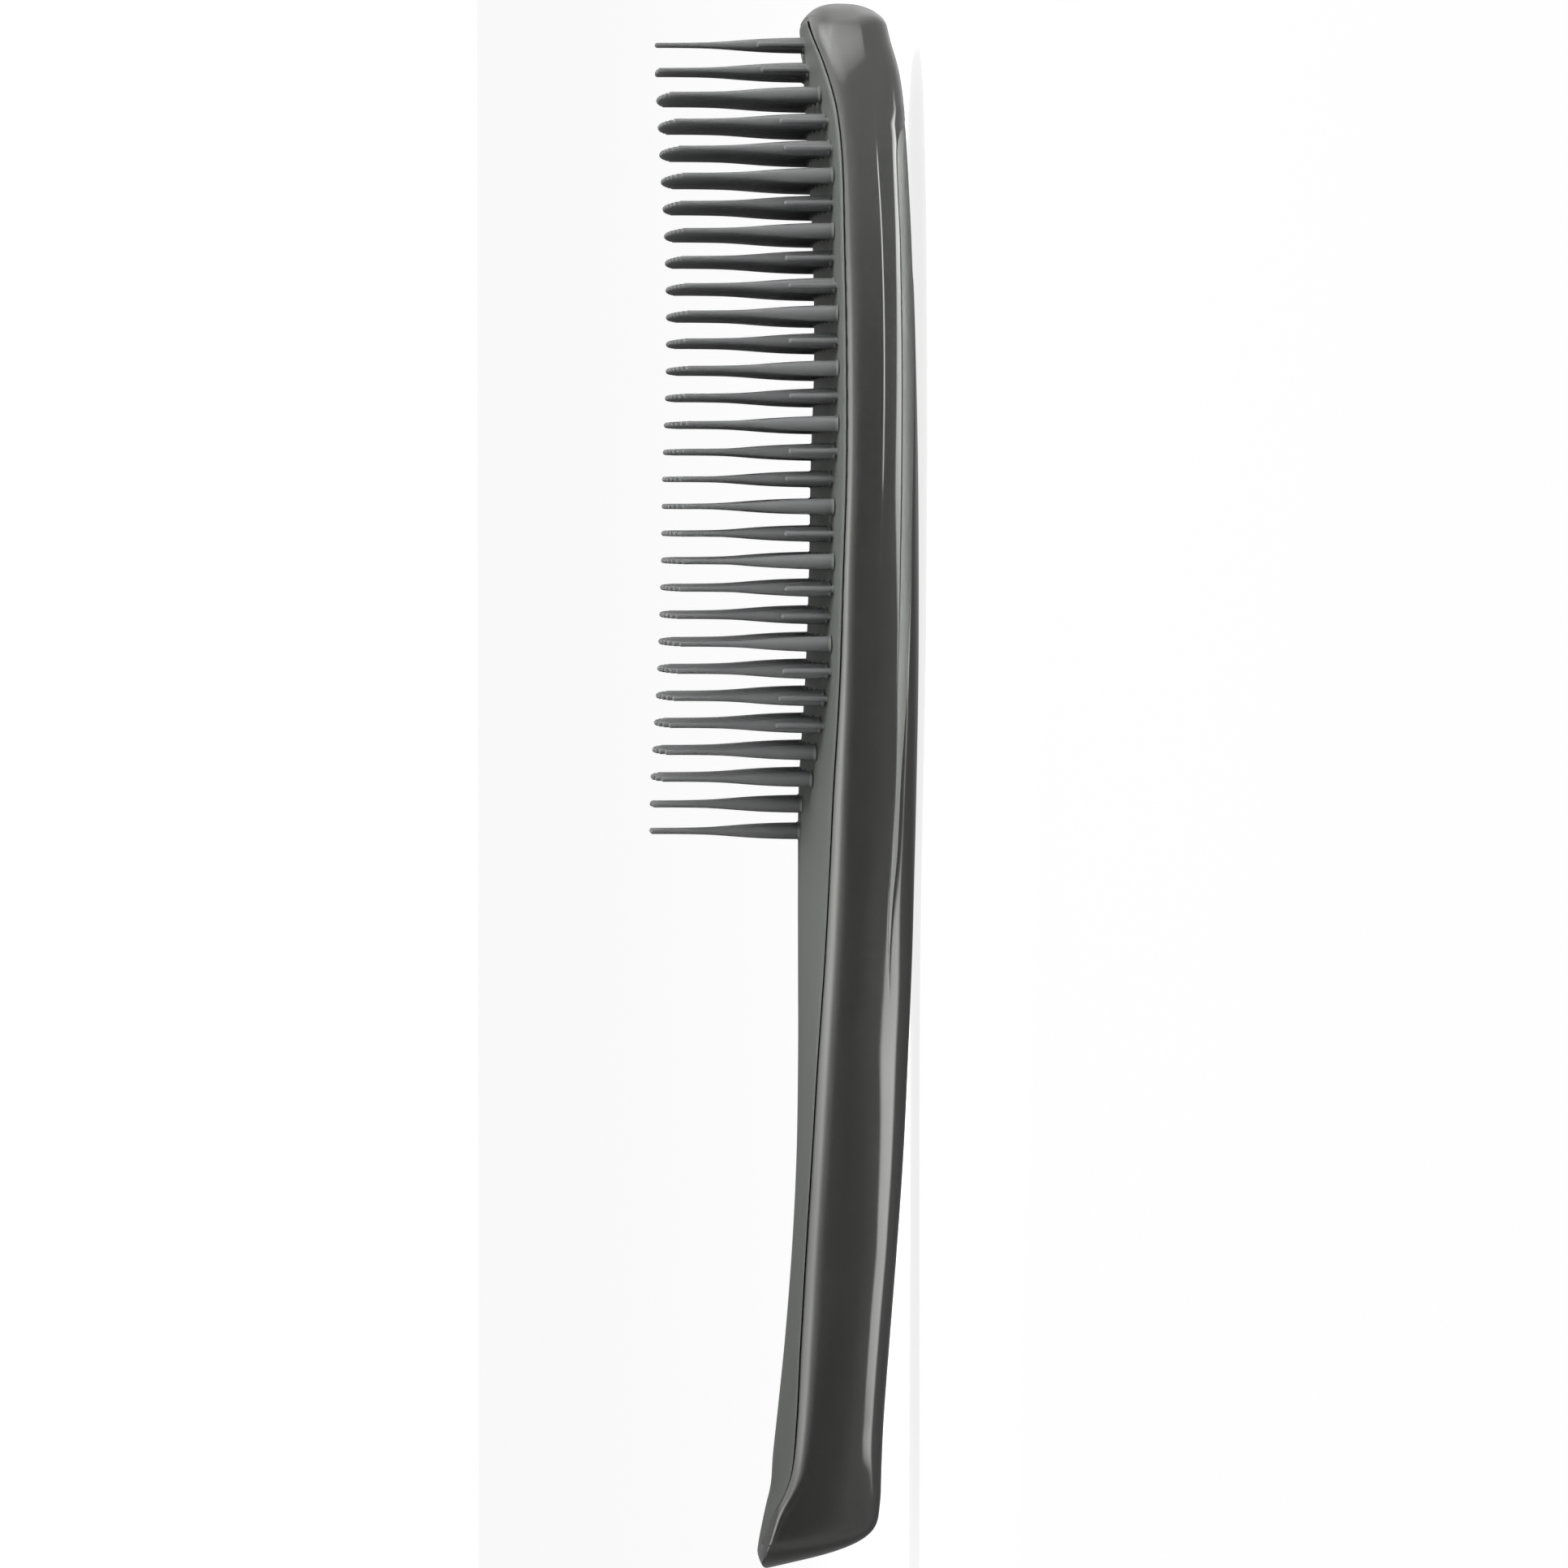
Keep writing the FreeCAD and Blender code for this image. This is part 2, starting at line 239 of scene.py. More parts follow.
# Steps along a long tooth, a short tooth and the round end of each, and how late a long tooth takes the
# width of its end
LONG_STEPS = 14
SHORT_STEPS = 3
ROUND_STEPS = 5
END_BLEND_POWER = 4

# Points of a mesh that are this close become one
MERGE = 2e-7
FINE_MERGE = 1e-9

# Scale of the fine grain and of the slow changes of gloss and of colour, how strong the last are, and the
# grain's depth
GRAIN_SCALE = 2600.0
GLOSS_SCALE = 38.0
SHADE_SCALE = 71.0
TINT_SHARE = 0.06
GRAIN_DEPTH = 0.02 * MM


def length(name, description, millimetres):
    """A size that the user can set, in metres."""
    return FloatProperty(name=name, description=description, default=millimetres * MM, min=0.0,
                         unit="LENGTH", precision=5)


def colour(name, description, value):
    """A colour that the user can set."""
    return FloatVectorProperty(name=name, description=description, default=value, size=3, min=0.0, max=1.0,
                               subtype="COLOR")


def factor(name, description, value, most=1.0):
    """A plain number that the user can set."""
    return FloatProperty(name=name, description=description, default=value, min=0.0, max=most)


def angle(name, description, degrees):
    """An angle that the user can set, in radians."""
    return FloatProperty(name=name, description=description, default=math.radians(degrees), min=0.0,
                         max=math.pi / 2, unit="ROTATION")


class BrushSizes(bpy.types.PropertyGroup):
    """Sizes of the two halves of the body"""

    head_length: length("Head length", "From the neck line to the tip", 120.7)
    handle_length: length("Handle length", "From the neck line to the end of the handle", 103.8)
    head_width: length("Head width", "Width of the head before its end is rounded", 61.0)
    neck_width: length("Neck width", "Width at the narrowest place", 27.2)
    grip_width: length("Grip width", "Width near the end of the handle", 31.8)
    body_height: length("Body height", "Height of the front face at the end of the handle", 22.9)
    tip_round: length("Tip rounding", "Length over which the tip is rounded off", 3.4)
    end_slant: length("End slant", "Length of the slanted facet at the end of the handle", 8.2)
    end_nose: length("End nose", "Small rounding of the very end", 1.4)
    end_round: length("End rounding", "Length over which the end narrows", 17.0)
    rim_drop: length("Rim drop", "How far the rim's rounding lies below the seam on the handle", 0.4)
    rim_rise: length("Rim rise", "How much higher the rim's rounding lies on the head", 0.7)
    crown_least: length("Least crown", "Least rise of the front over its rim", 0.25)
    seam_gap: length("Seam gap", "Gap between the two halves", 0.18)
    wall: length("Wall", "Wall of the back shell", 1.6)
    end_ledge: length("End ledge", "Solid length at the end of the handle", 5.0)
    tip_ledge: length("Tip ledge", "Solid length at the tip", 3.8)
    rim_round: length("Rim rounding", "Rounding between the sides and the front", 3.8)
    crease_round: length("Crease rounding", "Rounding of the crease along each side", 0.10)
    crease_step: length("Crease step", "Depth of the fine step below the crease of the head", 0.155)
    step_width: length("Step width", "Width of the fine step", 0.34)
    step_fade: length("Step fade", "How far from the crease the step has faded out", 2.6)
    groove_depth: length("Groove depth", "How far the edges turn in at the seam", 0.16)
    groove_reach: length("Groove reach", "How far from the seam its edges start to turn in", 0.7)
    panel_depth: length("Panel depth", "How far the satin panel lies below the gloss", 0.10)
    panel_edge: length("Panel edge", "Width of the chamfer round the satin panel", 0.35)


class ToothSizes(bpy.types.PropertyGroup):
    """Sizes of the teeth"""

    tip_margin: length("Tip margin", "From the tip to the first row", 5.9)
    neck_margin: length("Neck margin", "From the last row to the neck line", 2.2)
    side_margin: length("Side margin", "From the widest row to the sides", 4.7)
    long_length: length("Long tooth", "Length of a long tooth", 21.4)
    root_diameter: length("Root diameter", "Diameter of a long tooth at its root", 2.3)
    end_diameter: length("End diameter", "Diameter of a long tooth at its end", 0.75)
    short_length: length("Short tooth", "Length of a short tooth", 6.9)
    short_diameter: length("Short diameter", "Diameter of a short tooth", 0.9)
    bar_thickness: length("Bar thickness", "Thickness of the strip that a row stands on", 1.6)
    bar_overhang: length("Bar overhang", "How far the strip reaches past its last tooth", 1.4)
    collar_height: length("Collar height", "Height of the small collar round a root", 0.3)
    collar_width: length("Collar width", "Width of the small collar round a root", 0.28)
    sides: IntProperty(name="Sides", description="Sides of a tooth's mesh", default=16, min=8, max=48)


class BrushFinish(bpy.types.PropertyGroup):
    """Colours and gloss of the brush"""

    gloss_colour: colour("Gloss", "Colour of the glossy back", (0.152, 0.155, 0.147))
    panel_colour: colour("Satin panel", "Colour of the satin panel on the back", (0.345, 0.356, 0.335))
    front_colour: colour("Front", "Colour of the satin front", (0.070, 0.0755, 0.0695))
    tooth_colour: colour("Teeth", "Colour of the teeth", (0.078, 0.079, 0.080))
    gloss_roughness: factor("Gloss roughness", "Roughness of the glossy back", 0.10)
    panel_roughness: factor("Panel roughness", "Roughness of the satin panel", 0.46)
    front_roughness: factor("Front roughness", "Roughness of the satin front", 0.42)
    tooth_roughness: factor("Tooth roughness", "Roughness of the teeth", 0.18)


class StudioSettings(bpy.types.PropertyGroup):
    """Camera, floor and light"""

    view_distance: length("View distance", "From the brush to the camera", 1300.0)
    view_rise: angle("View rise", "Angle of the camera over the brush", 2.54)
    view_along: length("View along", "How far towards the tip the camera stands", 41.6)
    frame_width: length("Frame width", "Width of what the camera shows at the brush", 225.2)
    target_along: length("Target along", "Middle of the picture along the brush", 0.47)
    target_height: length("Target height", "Middle of the picture over the floor", 19.09)
    floor_colour: colour("Floor", "Colour of the floor", (0.86, 0.86, 0.86))
    floor_seen: colour("Seen floor", "Colour of the floor to the camera, besides its own light",
                       (0.30, 0.30, 0.30))
    floor_lift: factor("Floor lift", "The floor's own light to the camera", 0.82)
    world_level: factor("World level", "Level of the light from all round", 0.42, 4.0)


# Shape of the body


def read_table(table, place, column):
    """Smooth value of a column of a table at a place along the brush."""
    last = len(table) - 1
    k = 0
    while k < last - 1 and place > table[k + 1][0]:
        k += 1
    low, high = table[k], table[k + 1]
    span = high[0] - low[0]
    rise = (high[column] - low[column]) / span
    slopes = []
    for j in (k, k + 1):
        before, after = table[max(j - 1, 0)], table[min(j + 1, last)]
        slopes.append((after[column] - before[column]) / (after[0] - before[0]))
    u = min(max((place - low[0]) / span, 0.0), 1.0)
    bend = (slopes[0] - rise) * (1 - u) + (rise - slopes[1]) * u
    return low[column] + span * u * (rise + (1 - u) * bend)


def bezier(poles, u):
    """Point of a Bezier curve."""
    points = list(poles)
    while len(points) > 1:
        points = [a.lerp(b, u) for a, b in zip(points, points[1:])]
    return points[0]


def solve(rising, target, low=0.0, high=1.0):
    """Where a rising function reaches a target, by halving."""
    for _ in range(HALVINGS):
        middle = (low + high) / 2
        if rising(middle) < target:
            low = middle
        else:
            high = middle
    return (low + high) / 2


class Body:
    """The brush's outer form, worked out from its sizes"""

    def __init__(self, sizes):
        self.sizes = sizes
        self.neck_y = (sizes.handle_length - sizes.head_length) / 2
        self.tip_y = self.neck_y + sizes.head_length
        self.end_y = self.neck_y - sizes.handle_length

    def place(self, y):
        """Place along the brush as the tables count it."""
        if y > self.neck_y:
            return (y - self.neck_y) / self.sizes.head_length
        return (y - self.neck_y) / self.sizes.handle_length

    def level(self, y, column):
        """Height of the back (1), the seam (2) or the front (3) before the ends are rounded."""
        return self.sizes.body_height * read_table(HEIGHT_SHARES, self.place(y), column)

    def rounding(self, y, inset):
        """Shares by which the rounded ends narrow the brush and thin it."""
        sizes = self.sizes
        to_tip = max(self.tip_y - inset - y, 0.0)
        to_end = max(y - self.end_y - inset, 0.0)
        reach = self.tip_y - inset - (self.neck_y + WIDEST_SHARE * sizes.head_length)
        past_widest = min(max(1 - to_tip / reach, 0.0), 1.0)
        tip_width = (1 - past_widest ** TIP_ROUND_POWER) ** (1 / TIP_ROUND_POWER)
        past_grip = max(1 - to_end / sizes.end_round, 0.0)
        end_width = (1 - past_grip ** END_ROUND_POWER) ** (1 / END_ROUND_POWER)
        tip_depth = math.sqrt(1 - max(1 - to_tip / sizes.tip_round, 0.0) ** 2)
        end_depth = 1 - max(1 - to_end / sizes.end_slant, 0.0) ** END_DEPTH_POWER
        nose = max(1 - to_end / sizes.end_nose, 0.0) ** 2
        return tip_width * end_width, tip_depth, end_depth, nose

    def section(self, y, inset=0.0):
        """Half width, and heights of the back, crease, rim and front at a place along the brush."""
        sizes = self.sizes
        place = self.place(y)
        narrow, tip_depth, end_depth, nose = self.rounding(y, inset)
        head_share = read_table(WIDTH_SHARES, place, 1)
        head_extra = (sizes.head_width - sizes.neck_width) * head_share
        grip_extra = (sizes.grip_width - sizes.neck_width) * read_table(WIDTH_SHARES, place, 2)
        half = ((sizes.neck_width + head_extra + grip_extra) / 2 - inset) * narrow
        back = self.level(y, 1) + inset
        front = self.level(y, 3)
        rim = min(self.level(y, 2) - sizes.rim_drop + sizes.rim_rise * head_share, front - sizes.crown_least)
        crease = back + (rim - back) * read_table(HEIGHT_SHARES, place, 4)
        peak = TIP_PEAK_SHARE * sizes.body_height
        levels = []
        for level in (back, crease, rim, front):
            level = front + (level - front) * end_depth
            level = peak + (level - peak) * tip_depth
            levels.append(level - nose * sizes.end_nose)
        return half, levels

    def side_share(self, y):
        """How much of a full side there is between the crease and the rim: none where they meet."""
        return min((1 - read_table(HEIGHT_SHARES, self.place(y), 4)) / LEAN_SHARE, 1.0)

    def gap(self, y):
        """Gap between the two halves, narrower where they run out at the end of the handle."""
        return self.sizes.seam_gap * self.side_share(y) ** 2

    def front_level(self, x, y):
        """Height of the front face at a point of the head."""
        half, (_, _, rim, front) = self.section(y)
        return front - (front - rim) * (x / half) ** 2


class Section:
    """Half of the outline across the brush at one place, from the back's middle to the front's middle"""

    def __init__(self, body, y, inset=0.0):
        sizes = body.sizes
        half, (back, crease, rim, front) = body.section(y, inset)
        self.half = max(half, TINY)
        self.rim, self.front = rim, front
        side = body.side_share(y)
        tuck = self.half * (1 - (1 - CREASE_WIDTH_SHARE) * side)
        middle = (self.half + tuck) / 2 + self.half * SIDE_BULGE_SHARE
        place = body.place(y)
        corner = Vector((tuck * read_table(SHOULDER_SHARES, place, 1), back))
        square = read_table(SHOULDER_SHARES, place, 2)
        start, end = Vector((0, back)), Vector((tuck, crease))
        self.tuck = tuck
        self.back_poles = (start, start.lerp(corner, square), end.lerp(corner, square), end)
        self.side_poles = (end, Vector((middle, (crease + rim) / 2)), Vector((self.half, rim)))
        side_size = (self.side_poles[2] - self.side_poles[0]).length
        softness = min((2 * side) ** 2, 1.0)
        self.rim_round = min(sizes.rim_round, CORNER_SHARE * side_size, CORNER_SHARE * self.half) * softness
        self.crease_round = min(sizes.crease_round, CORNER_SHARE * side_size / 2, CORNER_SHARE * tuck / 2)
        self.crease_from = solve(lambda u: bezier(self.back_poles, u).x, tuck - self.crease_round)
        self.side_from = self.crease_round / max(side_size, TINY)
        self.side_to = 1 - self.rim_round / max(side_size, TINY)

    def on_back(self, x):
        """Point of the back at a distance from the middle."""
        if x <= 0:
            return self.back_poles[0].copy()
        return bezier(self.back_poles, solve(lambda u: bezier(self.back_poles, u).x, x))

    def crease_turn(self, u):
        """Point of the small rounding between the back and the side."""
        start = bezier(self.back_poles, self.crease_from)
        end = bezier(self.side_poles, self.side_from)
        return bezier((start, self.side_poles[0], end), u)

    def on_dome(self, x):
        """Point of the front at a distance from the middle."""
        return Vector((x, self.front - (self.front - self.rim) * (x / self.half) ** 2))

    def upper(self, w):
        """Point of the way up from the crease to the middle of the front."""
        if w <= WAY_SIDE:
            return bezier(self.side_poles, self.side_from + (self.side_to - self.side_from) * w)
        if w <= WAY_RIM:
            turn_start = bezier(self.side_poles, self.side_to)
            turn_end = self.on_dome(self.half - self.rim_round)
            return bezier((turn_start, self.side_poles[2], turn_end), w - WAY_SIDE)
        return self.on_dome((self.half - self.rim_round) * (WAY_FRONT - w))

    def cut(self, level):
        """How far up the way a level is reached."""
        return solve(lambda w: self.upper(w).y, level, 0.0, WAY_FRONT)


def spread(section, start, end, count, crowding):
    """Ways up a section, spaced by length; crowding draws them to the end, or to the start if below zero."""
    ways = [start + (end - start) * k / WAY_STEPS for k in range(WAY_STEPS + 1)]
    points = [section.upper(w) for w in ways]
    lengths = [0.0]
    for a, b in zip(points, points[1:]):
        lengths.append(lengths[-1] + (b - a).length)
    found = []
    j = 0
    for k in range(count + 1):
        share = k / count
        share = 1 - (1 - share) ** crowding if crowding > 0 else share ** -crowding
        target = lengths[-1] * share
        while j < WAY_STEPS - 1 and lengths[j + 1] < target:
            j += 1
        span = lengths[j + 1] - lengths[j]
        u = min(max((target - lengths[j]) / span, 0.0), 1.0) if span > 0 else 0.0
        found.append(ways[j] + (ways[j + 1] - ways[j]) * u)
    return found


def turned_in(body, section, y, ways, seam):
    """Points of the way up, turned in a little where they come near the seam."""
    sizes = body.sizes
    # How fast the front rises over the seam along the brush
    lean = (body.level(y + SMALL_STEP, 3) - body.level(y, 3)
            - body.level(y + SMALL_STEP, 2) + body.level(y, 2)) / SMALL_STEP
    points = []
    for w in ways:
        point = section.upper(w)
        low = section.upper(max(w - SMALL_STEP, 0.0))
        high = section.upper(min(w + SMALL_STEP, WAY_FRONT))
        along = (high - low).normalized() if (high - low).length > 0 else Vector((0, 1))
        steep = math.hypot(along.y, lean)
        distance = abs(point.y - seam) / max(steep, SMALL_STEP)
        turn = sizes.groove_depth * max(1 - distance / sizes.groove_reach, 0.0) ** 2
        turn = min(turn, section.half * TURN_SHARE)
        point = point + Vector((-along.y, along.x)) * turn
        points.append(Vector((max(point.x, 0.0), point.y)))
    return points


def back_points(body, section, y):
    """Points of the back from the middle to the crease, with the sunk satin panel between its two edges."""
    sizes = body.sizes
    place = body.place(y)
    reach = section.tuck - section.crease_round
    inner = max(read_table(PANEL_SHARES, place, 1), 0.0) * section.tuck
    outer = max(read_table(PANEL_SHARES, place, 2), 0.0) * section.tuck
    outer = min(max(outer, inner), reach)
    inner = min(inner, outer)
    edge = min(sizes.panel_edge, (outer - inner) / 3)
    inner_edge = min(edge, inner)
    step = min(sizes.step_width, (reach - outer - edge / 2) / 2)
    step_depth = sizes.crease_step * read_table(STEP_SHARES, place, 1) * step / sizes.step_width
    stops = [0.0, inner - inner_edge / 2, inner + inner_edge / 2, outer - edge / 2, outer + edge / 2,
             reach - step, reach]
    if inner <= 0:
        stops[1:4] = [0.0, 0.0, max(outer - edge / 2, 0.0)]
    depth = sizes.panel_depth * min(1.0, edge / sizes.panel_edge)
    points = []
    for part, count in enumerate(BACK_COUNTS):
        low, high = stops[part], stops[part + 1]
        for k in range(count):
            x = low + (high - low) * k / count
            if part == PANEL_PART or (part < PANEL_PART and inner <= 0):
                sunk = depth
            elif part == PANEL_PART - 1:
                sunk = depth * k / count
            elif part == PANEL_PART + 1:
                sunk = depth * (1 - k / count)
            elif part == STEP_PART - 1:
                sunk = step_depth * max(1 - (reach - step - x) / sizes.step_fade, 0.0) ** 2
            elif part == STEP_PART:
                sunk = step_depth * (1 - k / count)
            else:
                sunk = 0.0
            points.append(section.on_back(x) + Vector((0, sunk)))
    return points


def merged_stations(lists):
    """All places of several lists, in order and without near doubles."""
    places = []
    for y in sorted(y for part in lists for y in part):
        if not places or y - places[-1] > LEAST_STATION:
            places.append(y)
    return places


def eased(low, high, count):
    """Places between two ends, closer together at the ends."""
    return [low + (high - low) * (1 - math.cos(math.pi * k / count)) / 2 for k in range(count + 1)]


def crowded(start, reach, count):
    """Places from a start on, closer together near it."""
    return [start + reach * (k / count) ** 2 for k in range(count + 1)]


def crossing(body, gap_share, towards_tip):
    """Where the seam, raised by a share of the gap, meets the middle of the front near one end."""
    sizes = body.sizes

    def over(y):
        return body.level(y, 2) + body.gap(y) * gap_share - body.section(y)[1][3]

    if towards_tip:
        low, high = body.neck_y + SEAM_SEARCH_SHARE * sizes.head_length, body.tip_y - SEAM_SEARCH_INSET
        return solve(over, 0.0, low, high)
    low, high = body.end_y + SEAM_SEARCH_INSET, body.neck_y - SEAM_SEARCH_SHARE * sizes.handle_length
    return -solve(lambda y: over(-y), 0.0, -high, -low)


def make_mesh(rings, slot_of=None):
    """Closed mesh from rings of equal length; slot_of gives the material slot of a face from its step."""
    mesh = bmesh.new()
    rows = [[mesh.verts.new(point) for point in ring] for ring in rings]
    count = len(rows[0])
    for low, high in zip(rows, rows[1:]):
        for k in range(count):
            after = (k + 1) % count
            face = mesh.faces.new((low[k], low[after], high[after], high[k]))
            face.smooth = True
            if slot_of:
                face.material_index = slot_of(k)
    mesh.faces.new(list(reversed(rows[0])))
    mesh.faces.new(rows[-1])
    return mesh


def finish_mesh(name, mesh, merge):
    """Object from a mesh, with doubles merged and the outside out."""
    bmesh.ops.remove_doubles(mesh, verts=mesh.verts, dist=merge)
    bmesh.ops.dissolve_degenerate(mesh, edges=mesh.edges, dist=merge)
    bmesh.ops.recalc_face_normals(mesh, faces=mesh.faces)
    if mesh.calc_volume(signed=True) < 0:
        bmesh.ops.reverse_faces(mesh, faces=mesh.faces)
    data = bpy.data.meshes.new(name)
    mesh.to_mesh(data)
    mesh.free()
    item = bpy.data.objects.new(name, data)
    bpy.context.scene.collection.objects.link(item)
    return item


def whole_ring(right, y):
    """Closed outline across the brush at a place, from its right half."""
    left = [Vector((-p.x, p.y)) for p in reversed(right[1:-1])]
    return [Vector((p.x, y, p.y)) for p in right + left]


def shell_half(body, y, hollow):
    """Right half of the shell's outline, from the middle of the back round to the middle of its inside."""
    sizes = body.sizes
    section = Section(body, y)
    seam = body.level(y, 2)
    outer = back_points(body, section, y)
    outer += [section.crease_turn(k / CREASE_COUNT) for k in range(CREASE_COUNT)]
    cut = WAY_FRONT if section.front <= seam else section.cut(seam)
    ways = spread(section, 0.0, cut, SIDE_COUNT, SIDE_CROWDING)
    outer += turned_in(body, section, y, ways, seam)
    edge = outer[-1]
    top = min(seam, section.front)
    width = edge.x - min(sizes.wall * LEDGE_SHARE, edge.x)
    level = min(top, edge.y)
    inner = [Vector((width, level))]
    if hollow:
        inside = Section(body, y, sizes.wall)
        low = min(inside.side_poles[2].y, top) - sizes.wall / 2
        start = solve(lambda u: bezier(inside.side_poles, u).y, low)
        side_steps, back_steps = INNER_SIDE_COUNT, INNER_COUNT - INNER_SIDE_COUNT - 1
        inner += [bezier(inside.side_poles, start * (1 - k / side_steps)) for k in range(side_steps)]
        inner += [inside.on_back(inside.tuck * (1 - k / back_steps)) for k in range(back_steps + 1)]
    else:
        inner += [Vector((width * (1 - (k + 1) / INNER_COUNT), level)) for k in range(INNER_COUNT)]
    return outer + inner


def shell_stations(body):
    """Places of the shell's outlines, each with whether the shell is hollow there."""
    first, last = body.end_y + SHELL_INSET, body.tip_y - SHELL_INSET
    near_end = crowded(crossing(body, 0.0, False), SEAM_END_REACH, SEAM_END_COUNT)
    near_tip = crowded(crossing(body, 0.0, True), -SEAM_TIP_REACH, SEAM_TIP_COUNT)
    nose = crowded(last, -NOSE_REACH, NOSE_COUNT)[1:-1]
    places = merged_stations([eased(first, last, SHELL_STATIONS), near_end, near_tip, nose])
    low, high = body.end_y + body.sizes.end_ledge, body.tip_y - body.sizes.tip_ledge
    stations = [(y, low < y < high) for y in places if y not in (low, high)]
    stations += [(low, False), (low, True), (high, True), (high, False)]
    return sorted(stations, key=lambda station: station[0])


def make_back_shell(body):
    """The glossy back: outer skin with its satin panel, edge at the seam, and inside."""
    rings = [whole_ring(shell_half(body, y, hollow), y) for y, hollow in shell_stations(body)]
    count = len(rings[0])
    panel_from = sum(BACK_COUNTS[:PANEL_PART])
    panel_to = panel_from + BACK_COUNTS[PANEL_PART]

    def slot_of(k):
        return 1 if panel_from <= min(k, count - 1 - k) < panel_to else 0

    return finish_mesh("back_shell_skin", make_mesh(rings, slot_of), MERGE)


def cover_half(body, y):
    """Right half of the cover's outline: the front from its middle to the seam, then the flat underside."""
    section = Section(body, y)
    seam = body.level(y, 2) + body.gap(y)
    if section.front <= seam:
        return [Vector((0.0, section.front))] * (FRONT_COUNT + 1 + len(UNDER_SHARES))
    ways = spread(section, section.cut(seam), WAY_FRONT, FRONT_COUNT, FRONT_CROWDING)
    top = turned_in(body, section, y, ways, seam)
    top.reverse()
    edge = top[-1]
    return top + [Vector((edge.x * share, edge.y)) for share in UNDER_SHARES]


def long_profile(teeth):
    """Distance over the root and radius along a long tooth, with its round end."""
    root, end = teeth.root_diameter / 2, teeth.end_diameter / 2
    straight = teeth.long_length - end
    profile = []
    for k in range(LONG_STEPS + 1):
        along = k / LONG_STEPS
        thick = read_table(TAPER_SHARES, along, 1)
        blend = along ** END_BLEND_POWER
        profile.append((straight * along, root * thick * (1 - blend) + end * blend))
    return profile + round_end(straight, end)


def short_profile(teeth):
    """Distance over the root and radius along a short tooth, with its round end."""
    radius = teeth.short_diameter / 2
    straight = teeth.short_length - radius
    profile = [(straight * k / SHORT_STEPS, radius) for k in range(SHORT_STEPS + 1)]
    return profile + round_end(straight, radius)


def round_end(straight, radius):
    """The round end of a tooth."""
    turns = [math.pi / 2 * k / ROUND_STEPS for k in range(1, ROUND_STEPS + 1)]
    return [(straight + radius * math.sin(turn), radius * math.cos(turn)) for turn in turns]


def add_turned(mesh, x, y, z, profile, sides):
    """Adds a round form about an upright axis to a mesh, from heights and radii."""
    rows = []
    for rise, radius in profile:
        if radius < TINY:
            rows.append([mesh.verts.new((x, y, z + rise))])
            continue
        rows.append([mesh.verts.new((x + radius * math.cos(2 * math.pi * k / sides),
                                     y + radius * math.sin(2 * math.pi * k / sides), z + rise))
                     for k in range(sides)])
    for low, high in zip(rows, rows[1:]):
        for k in range(sides):
            after = (k + 1) % sides
            upper = (high[0],) if len(high) == 1 else (high[after], high[k])
            mesh.faces.new((low[k], low[after]) + upper).smooth = True
    for row in (list(reversed(rows[0])), rows[-1]):
        if len(row) > 1:
            mesh.faces.new(row)


def pitches(body, teeth):
    """Distance from row to row and from tooth to tooth along a row."""
    sizes = body.sizes
    row_pitch = (sizes.head_length - teeth.tip_margin - teeth.neck_margin) / (len(SIDE_TEETH) - 1)
    return row_pitch, (sizes.head_width / 2 - teeth.side_margin) / max(SIDE_TEETH)


def row_place(body, teeth, row):
    """Place of a row along the brush."""
    return body.tip_y - teeth.tip_margin - row * pitches(body, teeth)[0]


def teeth_of(body, teeth, row):
    """Places of a row's teeth. Long and short ones take turns along the row and from row to row."""
    y = row_place(body, teeth, row)
    for column in range(-SIDE_TEETH[row], SIDE_TEETH[row] + 1):
        yield column * pitches(body, teeth)[1], y, (column + row) % 2 == 0


def collar_profile(teeth, is_long):
    """Distance over the front and radius of the collar round a tooth."""
    radius = (teeth.root_diameter if is_long else teeth.short_diameter) / 2
    scale = 1.0 if is_long else SHORT_COLLAR_SHARE
    height, width = teeth.collar_height * scale, teeth.collar_width * scale
    slope = [(height * rise, radius + width * reach) for rise, reach in COLLAR_SHARES]
    return [(-COLLAR_FOOT, radius + width)] + slope + [(height, radius + COLLAR_LIP),
                                                       (height * COLLAR_INNER_SHARE, radius - COLLAR_TUCK)]


def make_front_cover(body, teeth):
    """The satin front: a domed plate with a small collar round each tooth."""
    places = eased(crossing(body, 1.0, False), crossing(body, 1.0, True), COVER_STATIONS)
    mesh = make_mesh([whole_ring(cover_half(body, y), y) for y in places])
    bmesh.ops.remove_doubles(mesh, verts=mesh.verts, dist=MERGE)
    for row in range(len(SIDE_TEETH)):
        for x, y, is_long in teeth_of(body, teeth, row):
            add_turned(mesh, x, y, body.front_level(x, y), collar_profile(teeth, is_long), teeth.sides)
    return finish_mesh("front_cover_skin", mesh, FINE_MERGE)


def add_strip(mesh, body, teeth, row):
    """Adds the strip that a row of teeth stands on to a mesh."""
    row_pitch, column_pitch = pitches(body, teeth)
    half = SIDE_TEETH[row] * column_pitch + teeth.bar_overhang
    ends = []
    for way in (-1, 1):
        y = row_place(body, teeth, row) + way * row_pitch / 2
        high = body.level(y, 2) + body.sizes.seam_gap
        low = high - teeth.bar_thickness
        corners = ((-half, low), (half, low), (half, high), (-half, high))
        ends.append([mesh.verts.new((x, y, z)) for x, z in corners])
    front, back = ends
    for k in range(len(front)):
        after = (k + 1) % len(front)
        mesh.faces.new((front[k], front[after], back[after], back[k]))
    mesh.faces.new(list(reversed(front)))
    mesh.faces.new(back)


